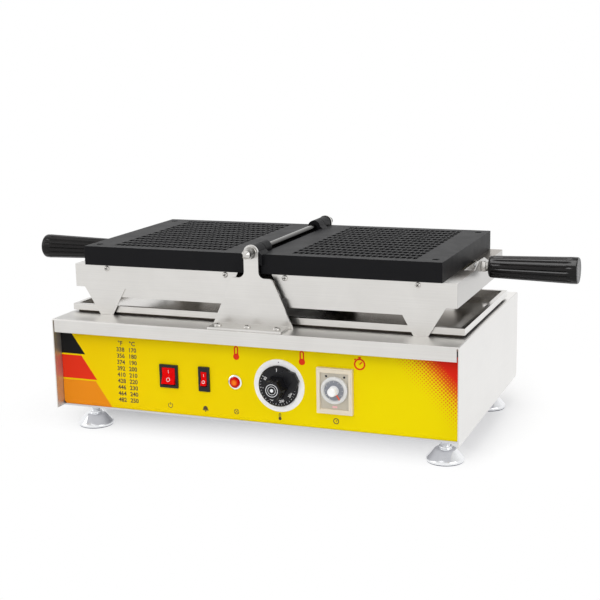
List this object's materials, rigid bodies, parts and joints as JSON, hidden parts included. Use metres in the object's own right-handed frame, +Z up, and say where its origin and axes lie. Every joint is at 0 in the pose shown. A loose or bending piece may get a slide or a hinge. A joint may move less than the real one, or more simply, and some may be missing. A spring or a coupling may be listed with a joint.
{
  "type": "waffle cone maker",
  "caption": "Countertop waffle cone maker: lattice plates hinged like a book on one shaft swing over a drip tray, above a stainless base with recessed controls and levelling feet.",
  "frame": {"origin": "on the table, under the middle of the hinge shaft", "axes": "+Z up, +X to the right of someone facing the controls, +Y to the rear"},
  "size_m": [0.77, 0.356, 0.2615],
  "materials": {
    "stainless_steel": "satin brushed",
    "bright_steel": "polished",
    "coated_plate": "black non-stick coat on cast aluminium",
    "yellow_film": "printed film",
    "red_plastic": "moulded",
    "red_lens": "translucent dome",
    "white_plastic": "moulded",
    "cream_plastic": "moulded",
    "grey_plastic": "moulded",
    "black_plastic": "moulded",
    "mineral_wool": "pressed fibre"
  },
  "bodies": {
    "base": {"base_cover": "stainless_steel", "base_floor": "stainless_steel", "rear_panel": "stainless_steel", "control_panel": "stainless_steel", "panel_overlay": "yellow_film", "foot_nut_front_left": "bright_steel", "foot_nut_front_right": "bright_steel", "foot_nut_rear_left": "bright_steel", "foot_nut_rear_right": "bright_steel", "front_post": "stainless_steel", "rear_post": "stainless_steel", "hinge_shaft": "bright_steel", "front_cap_nut": "bright_steel", "rear_cap_nut": "bright_steel", "terminal_block": "white_plastic", "cable_gland": "black_plastic", "main_switch_frame": "black_plastic", "alarm_switch_frame": "black_plastic", "lamp_bezel": "bright_steel", "lamp_lens": "red_lens", "dial_plate": "white_plastic", "thermostat_body": "black_plastic", "timer_case": "cream_plastic", "buzzer": "black_plastic"},
    "left_griddle": {"left_plate": "coated_plate", "left_heater": "stainless_steel", "left_clamp": "stainless_steel", "left_insulation": "mineral_wool", "left_pan": "stainless_steel", "left_bottom_cover": "stainless_steel", "left_handle_stud": "bright_steel", "left_handle_nut": "bright_steel", "left_collar": "bright_steel", "left_grip": "black_plastic"},
    "right_griddle": {"right_plate": "coated_plate", "right_heater": "stainless_steel", "right_clamp": "stainless_steel", "right_insulation": "mineral_wool", "right_pan": "stainless_steel", "right_bottom_cover": "stainless_steel", "right_handle_stud": "bright_steel", "right_handle_nut": "bright_steel", "right_collar": "bright_steel", "right_grip": "black_plastic"},
    "drip_tray": {"drip_tray": "stainless_steel"},
    "main_rocker": {"main_rocker": "red_plastic"},
    "alarm_rocker": {"alarm_rocker": "red_plastic"},
    "thermostat_knob": {"thermostat_knob": "black_plastic"},
    "timer_dial": {"timer_dial": "grey_plastic", "timer_knob": "white_plastic"},
    "foot_front_left": {"foot_front_left": "bright_steel"},
    "foot_front_right": {"foot_front_right": "bright_steel"},
    "foot_rear_left": {"foot_rear_left": "bright_steel"},
    "foot_rear_right": {"foot_rear_right": "bright_steel"}
  },
  "joints": [
    {"name": "left_griddle_swing", "type": "hinge", "parent": "base", "child": "left_griddle", "pos_m": [0, 0, 0.2515], "axis": [0, 1, 0], "range_deg": [0, 180]},
    {"name": "right_griddle_swing", "type": "hinge", "parent": "base", "child": "right_griddle", "pos_m": [0, 0, 0.2515], "axis": [0, -1, 0], "range_deg": [0, 180]},
    {"name": "drip_tray_slide", "type": "slide", "parent": "base", "child": "drip_tray", "axis": [1, 0, 0], "range_m": [0, 0.5]},
    {"name": "main_rocker_tilt", "type": "hinge", "parent": "base", "child": "main_rocker", "pos_m": [-0.113, -0.1515, 0.0875], "axis": [1, 0, 0], "range_deg": [0, 20]},
    {"name": "alarm_rocker_tilt", "type": "hinge", "parent": "base", "child": "alarm_rocker", "pos_m": [-0.0626, -0.1515, 0.0875], "axis": [1, 0, 0], "range_deg": [0, 20]},
    {"name": "thermostat_knob_turn", "type": "hinge", "parent": "base", "child": "thermostat_knob", "pos_m": [0.041, -0.16, 0.0875], "axis": [0, 1, 0], "range_deg": [-62, 238]},
    {"name": "timer_dial_turn", "type": "hinge", "parent": "base", "child": "timer_dial", "pos_m": [0.116, -0.158, 0.089], "axis": [0, 1, 0], "range_deg": [0, 300]},
    {"name": "foot_front_left_height", "type": "slide", "parent": "base", "child": "foot_front_left", "axis": [0, 0, -1], "range_m": [0, 0.01]},
    {"name": "foot_front_right_height", "type": "slide", "parent": "base", "child": "foot_front_right", "axis": [0, 0, -1], "range_m": [0, 0.01]},
    {"name": "foot_rear_left_height", "type": "slide", "parent": "base", "child": "foot_rear_left", "axis": [0, 0, -1], "range_m": [0, 0.01]},
    {"name": "foot_rear_right_height", "type": "slide", "parent": "base", "child": "foot_rear_right", "axis": [0, 0, -1], "range_m": [0, 0.01]}
  ]
}
